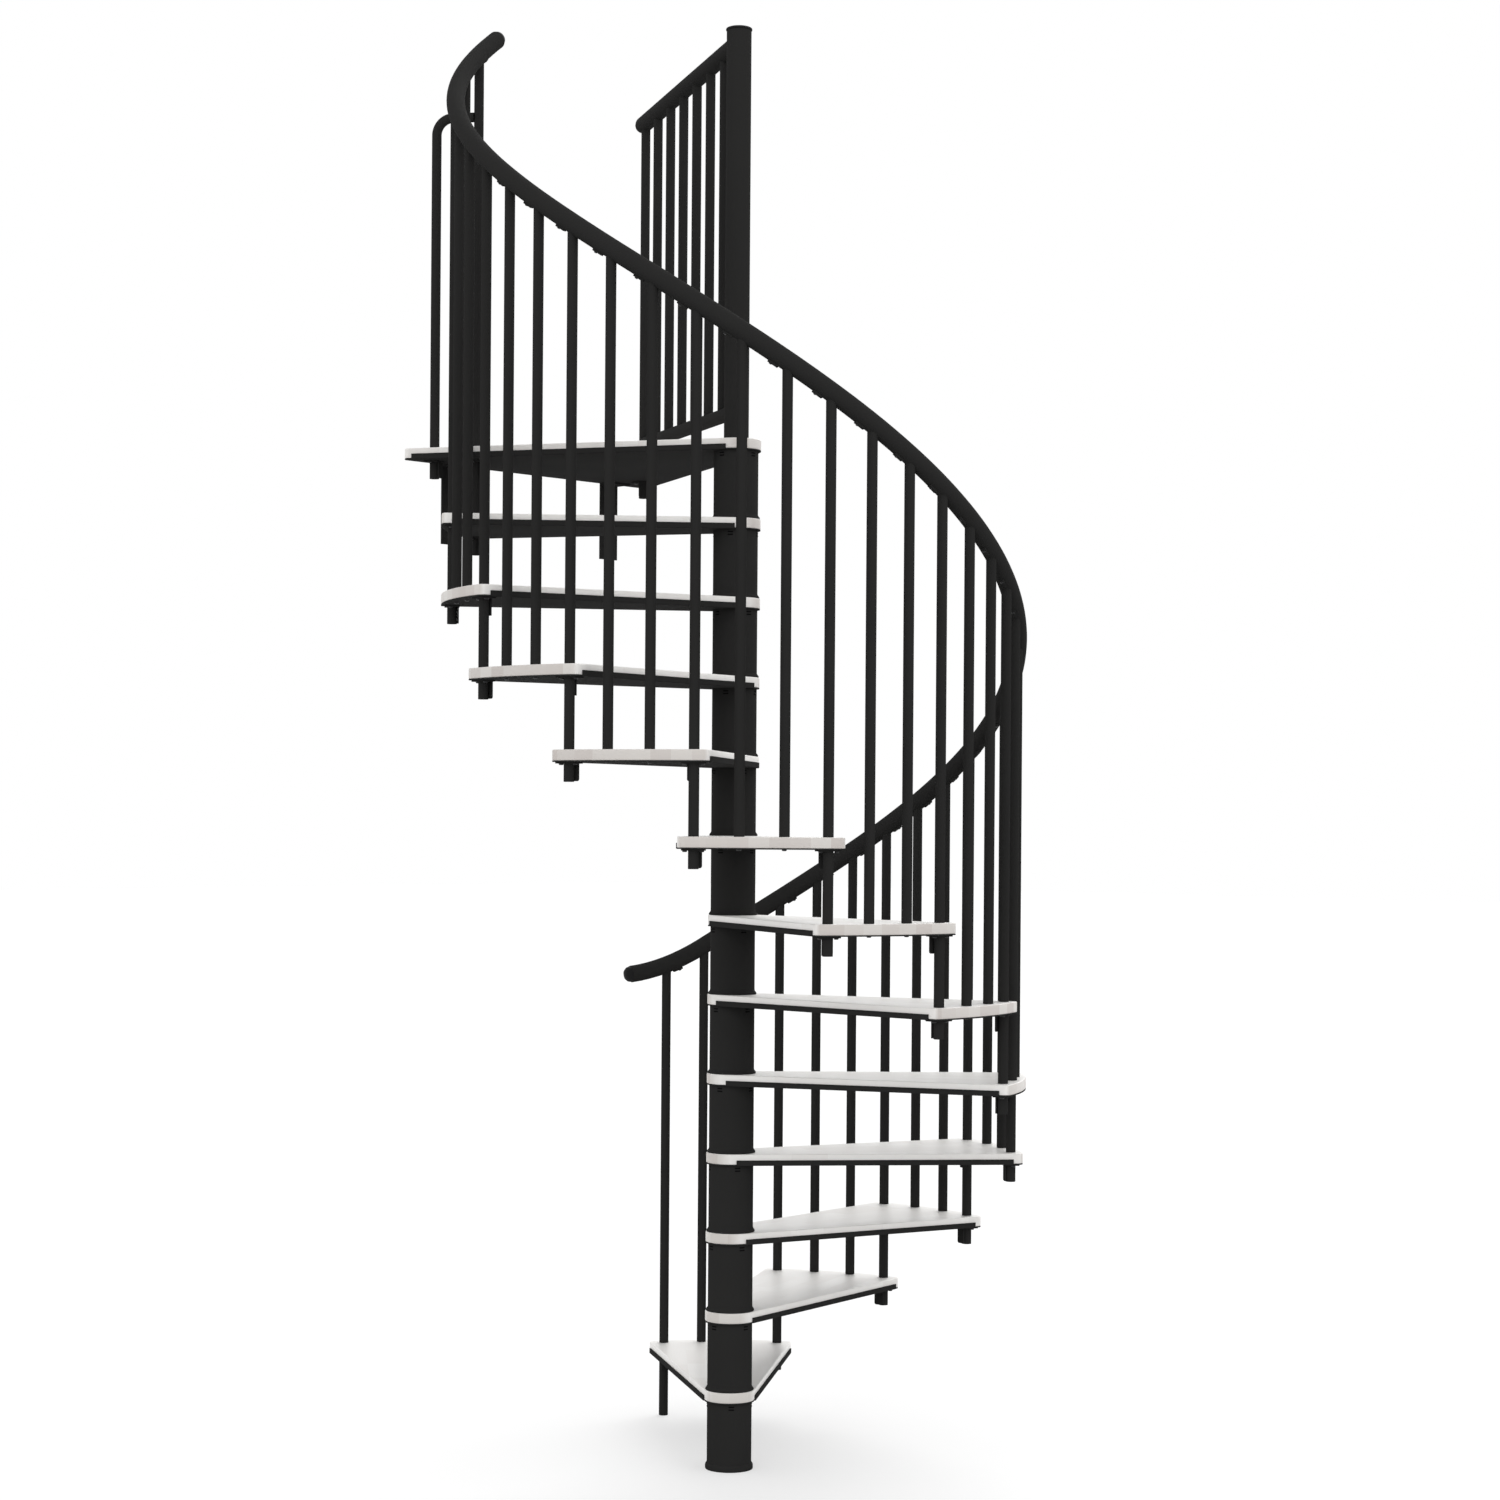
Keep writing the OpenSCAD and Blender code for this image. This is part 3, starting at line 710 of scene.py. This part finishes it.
for level in range(tread_count):
    height = first_top + level * riser
    for k in (3 * level, 3 * level + 3):
        az = baluster_az(k)
        bracket_screws(direction(az, baluster_r), az, height)
    for k in (3 * level + 1, 3 * level + 2):
        spot = direction(baluster_az(k), baluster_r) + Vector((0, 0, height + tray_z))
        stamp(under_screws, screw, Matrix.Translation(spot) @ facing_down, True)
bracket_screws(direction(last_az, baluster_r), last_az, landing_z)
bracket_screws(direction(guard_az, guard_r), guard_az, landing_z)
bracket_screws(Vector((corner_x, corner_y, 0)), entry_az, landing_z)
finished("under_screws", under_screws, zinc_black)


# ---- Landing guard ----
# Seven balusters between two round rails along the landing's open side. The rails are
# fixed to the newel post, and the outermost baluster runs down through the landing.

guard_count = 7
guard_pitch = guard_r / guard_count
guard_past = 0.050
guard_end_r = guard_r + guard_past
guard_rail_r = 0.0245
guard_low_r = 0.0195
guard_low_h, guard_h = 0.080, 1.088
guard_low_z = landing_z + guard_low_h
guard_top_z = landing_z + guard_h
guard_fall = 0.054
newel_bite, post_bite, guard_bite = 0.001, 0.002, 0.004
end_round, cut_round = guard_rail_r - 0.001, 0.0008
guard_tilt = math.atan(guard_fall / guard_end_r)
guard_frame = (Matrix.Translation((0, 0, guard_top_z)) @ Matrix.Rotation(guard_az, 4, "Z")
               @ Matrix.Rotation(guard_tilt, 4, "Y") @ Matrix.Rotation(math.pi / 2, 4, "Y"))

rod = turned([(0, newel_r - newel_bite, 0), (guard_rail_r, newel_r - newel_bite, 0),
              (guard_rail_r, guard_end_r, end_round), (0, guard_end_r, 0)], rail_sides, False)
top_rail = bmesh.new()
stamp(top_rail, rod, guard_frame)
finished("guard_rail_top", top_rail, coated_steel, ["guard_top_rail"])

low_end = guard_r - post_r + post_bite
low_rod = turned([(0, newel_r - newel_bite, 0), (guard_low_r, newel_r - newel_bite, 0),
                  (guard_low_r, low_end, cut_round), (0, low_end, 0)], rail_sides, False)
low_rail = bmesh.new()
stamp(low_rail, low_rod, Matrix.Translation((0, 0, guard_low_z))
      @ Matrix.Rotation(guard_az, 4, "Z") @ Matrix.Rotation(math.pi / 2, 4, "Y"))
finished("guard_rail_low", low_rail, coated_steel, ["guard_bottom_rail"])

guard_posts = bmesh.new()
guard_up = guard_frame.to_3x3() @ -X_AXIS
for number in range(guard_count):
    reach = guard_r - number * guard_pitch
    foot = direction(guard_az, reach)
    foot.z = landing_z - stub_drop if number == 0 else guard_low_z + guard_low_r - guard_bite
    top = foot.copy()
    top.z = guard_top_z
    under = guard_frame @ Vector((guard_rail_r - guard_bite, 0, reach))
    tube(guard_posts, top, foot, post_r, (under, guard_up))
finished("guard_posts", guard_posts, coated_steel, ["guard_balusters"])


# ---- Corner rail ----
# A bent steel tube that closes the gap between the last baluster and the landing's
# corner. It is of the balusters' tube, and its level end butts on the last baluster.

corner_bend = 0.048
corner_bend_steps = 14
corner_h = 0.935
corner_foot = Vector((corner_x, corner_y, landing_z - stub_drop))
last_post = direction(last_az, baluster_r)
run = last_post - Vector((corner_x, corner_y, 0))
run_az = math.atan2(run.y, run.x)
run_dir = direction(run_az)
bend_side = Vector((-run_dir.y, run_dir.x, 0))
run_end = run.length - post_r - corner_bend

bent = bmesh.new()
ring = bmesh.ops.create_circle(bent, segments=tube_steps, radius=post_r,
                               matrix=Matrix.Translation(corner_foot))["verts"]
ring_edges = list({edge for vert in ring for edge in vert.link_edges})
bmesh.ops.edgeloop_fill(bent, edges=ring_edges)
raised = bmesh.ops.extrude_edge_only(bent, edges=ring_edges)["geom"]
bmesh.ops.translate(bent, verts=[g for g in raised if isinstance(g, bmesh.types.BMVert)],
                    vec=(0, 0, stub_drop + corner_h - corner_bend))
ring_edges = [g for g in raised if isinstance(g, bmesh.types.BMEdge)]
bend_at = corner_foot + Vector((0, 0, stub_drop + corner_h - corner_bend)) \
    + run_dir * corner_bend
swept = bmesh.ops.spin(bent, geom=ring_edges, cent=bend_at, axis=bend_side, dvec=(0, 0, 0),
                       angle=math.pi / 2, steps=corner_bend_steps)["geom_last"]
ring_edges = [g for g in swept if isinstance(g, bmesh.types.BMEdge)]
carried = bmesh.ops.extrude_edge_only(bent, edges=ring_edges)["geom"]
bmesh.ops.translate(bent, verts=[g for g in carried if isinstance(g, bmesh.types.BMVert)],
                    vec=run_dir * run_end)
bmesh.ops.edgeloop_fill(bent, edges=[g for g in carried if isinstance(g, bmesh.types.BMEdge)])
bmesh.ops.remove_doubles(bent, verts=bent.verts, dist=1e-6)
finished("corner_tube", bent, coated_steel, ["corner_rail"])


# ---- Plates on the floor's edge ----
# Two steel angles that hang from the landing's outer side. Their feet are screwed to the
# tray, and two black bolts through each anchor them to the edge of the floor above.

plate_pitch = 0.120
plate_t = 0.005
bolt_r, bolt_h, bolt_middle, bolt_round = 0.0098, 0.0065, 0.0052, 0.001
washer_r, washer_t, washer_round = 0.0125, 0.002, 0.0005
plate_mounts = [mount for mount in frame["record"]["mounts"]
                if mount["name"].startswith("slab_bolts")]
coat_node("slab_plates", coated_steel)

bolts = bmesh.new()
bolt = bmesh.new()
bmesh.ops.create_cone(bolt, cap_ends=True, segments=6, radius1=bolt_r, radius2=bolt_r,
                      depth=bolt_h, matrix=Matrix.Translation((0, 0, bolt_middle)))
bolt_rim = [edge for edge in bolt.edges if all(vert.co.z > bolt_middle for vert in edge.verts)]
bmesh.ops.bevel(bolt, geom=bolt_rim, offset=bolt_round, offset_type="OFFSET", segments=1,
                profile=0.5, affect="EDGES", material=-1)
washer = turned([(0, 0, 0), (washer_r, 0, 0), (washer_r, washer_t, washer_round),
                 (0, washer_t, 0)], 24, False)
stamp(bolt, washer, Matrix())
for mount in plate_mounts:
    middle = Vector(mount["pos_m"])
    for side in (-1, 1):
        spot = middle + Vector((plate_t, 0, side * plate_pitch / 2))
        stamp(bolts, bolt, Matrix.Translation(spot) @ Matrix.Rotation(math.pi / 2, 4, "Y"), True)
bolt.free()
finished("slab_bolts", bolts, zinc_black)


# ---- Room ----
# A plain pale floor under an even white surround, brightest low down, with wide soft lamps
# in front, at the right and behind. The floor shows as white and takes a faint shadow.

floor_size = 60
floor_grey = (0.49, 0.49, 0.49, 1)
white = (1, 1, 1, 1)
floor_lift = 0.5
low_light, high_light = 1.40, 0.50
lamp_spread = math.radians(50)

floor = bpy.data.objects.new("floor", bpy.data.meshes.new("floor"))
floor_shape = bmesh.new()
bmesh.ops.create_grid(floor_shape, x_segments=1, y_segments=1, size=floor_size)
floor_shape.to_mesh(floor.data)
floor_shape.free()
scene.collection.objects.link(floor)
floor_paint = bpy.data.materials.new("floor_paint")
floor_paint.use_nodes = True
floor_tree = floor_paint.node_tree
floor_shader = floor_tree.nodes["Principled BSDF"]
rays = add(floor_tree, "LightPath", {})
mirrored = add(floor_tree, "Math", {0: rays.outputs["Is Glossy Ray"],
                                    1: rays.outputs["Is Transmission Ray"]},
               operation="MAXIMUM")
in_view = add(floor_tree, "Math", {0: rays.outputs["Is Camera Ray"], 1: mirrored.outputs[0]},
              operation="MAXIMUM")
floor_glow = add(floor_tree, "Math", {0: in_view.outputs[0], 1: floor_lift},
                 operation="MULTIPLY")
floor_tree.links.new(floor_glow.outputs[0], floor_shader.inputs["Emission Strength"])
floor_shader.inputs["Emission Color"].default_value = white
floor_shader.inputs["Base Color"].default_value = floor_grey
floor_shader.inputs["Roughness"].default_value = 1
floor_shader.inputs["Specular IOR Level"].default_value = 0
floor.data.materials.append(floor_paint)

world = bpy.data.worlds.new("surround")
world.use_nodes = True
world_tree = world.node_tree
sky = world_tree.nodes["Background"]
sky.inputs["Color"].default_value = white
sky_rays = add(world_tree, "LightPath", {})
seen = add(world_tree, "Math", {0: sky_rays.outputs["Is Camera Ray"],
                                1: sky_rays.outputs["Is Glossy Ray"]}, operation="MAXIMUM")
shows = add(world_tree, "Math", {0: seen.outputs[0],
                                 1: sky_rays.outputs["Is Transmission Ray"]}, operation="MAXIMUM")
sky_place = add(world_tree, "TexCoord", {})
sky_axes = add(world_tree, "SeparateXYZ", {"Vector": sky_place.outputs["Generated"]})
wall_light = add(world_tree, "MapRange", {"Value": sky_axes.outputs["Z"], "From Min": 0.1,
                                          "From Max": 0.85, "To Min": low_light,
                                          "To Max": high_light},
                 interpolation_type="SMOOTHSTEP")
sky_level = add(world_tree, "Mix", {0: shows.outputs[0], 2: wall_light.outputs[0], 3: 1.0})
world_tree.links.new(sky_level.outputs[0], sky.inputs["Strength"])
scene.world = world


def soft_lamp(name, azimuth, height, level):
    """A wide soft lamp, far enough off to light the whole stair evenly."""
    lamp = bpy.data.objects.new(name, bpy.data.lights.new(name, "SUN"))
    lamp.data.angle = lamp_spread
    lamp.data.energy = level
    lamp.rotation_euler = (math.radians(90 - height), 0, math.radians(azimuth + 90))
    scene.collection.objects.link(lamp)


soft_lamp("lamp_front", -55, 38, 0.40)
soft_lamp("lamp_right", 20, 45, 0.20)
soft_lamp("lamp_back", 110, 45, 1.40)


# ---- Camera ----
# A level view from the front right, set a little below half of the stair's height. It
# stands well back, so that both the foot and the guard's top rail are in sight.

image_side = 1500
focal = 3036.7
shift_right, shift_up = 16.5, 75.6
camera = bpy.data.objects.new("camera", bpy.data.cameras.new("camera"))
scene.collection.objects.link(camera)
camera.data.sensor_width = 36
camera.data.lens = focal * camera.data.sensor_width / image_side
camera.data.shift_x = shift_right / image_side
camera.data.shift_y = shift_up / image_side
camera.data.clip_end = 120
camera_az = math.radians(43.77)
camera_back = 8.298
camera_height = 1.7558
camera_roll = 0.0072
camera.matrix_world = (
    Matrix.Translation((camera_back * math.sin(camera_az), -camera_back * math.cos(camera_az),
                        camera_height))
    @ Matrix.Rotation(camera_az, 4, "Z") @ Matrix.Rotation(math.pi / 2, 4, "X")
    @ Matrix.Rotation(camera_roll, 4, "Z"))
scene.camera = camera

scene.view_settings.view_transform = "Standard"
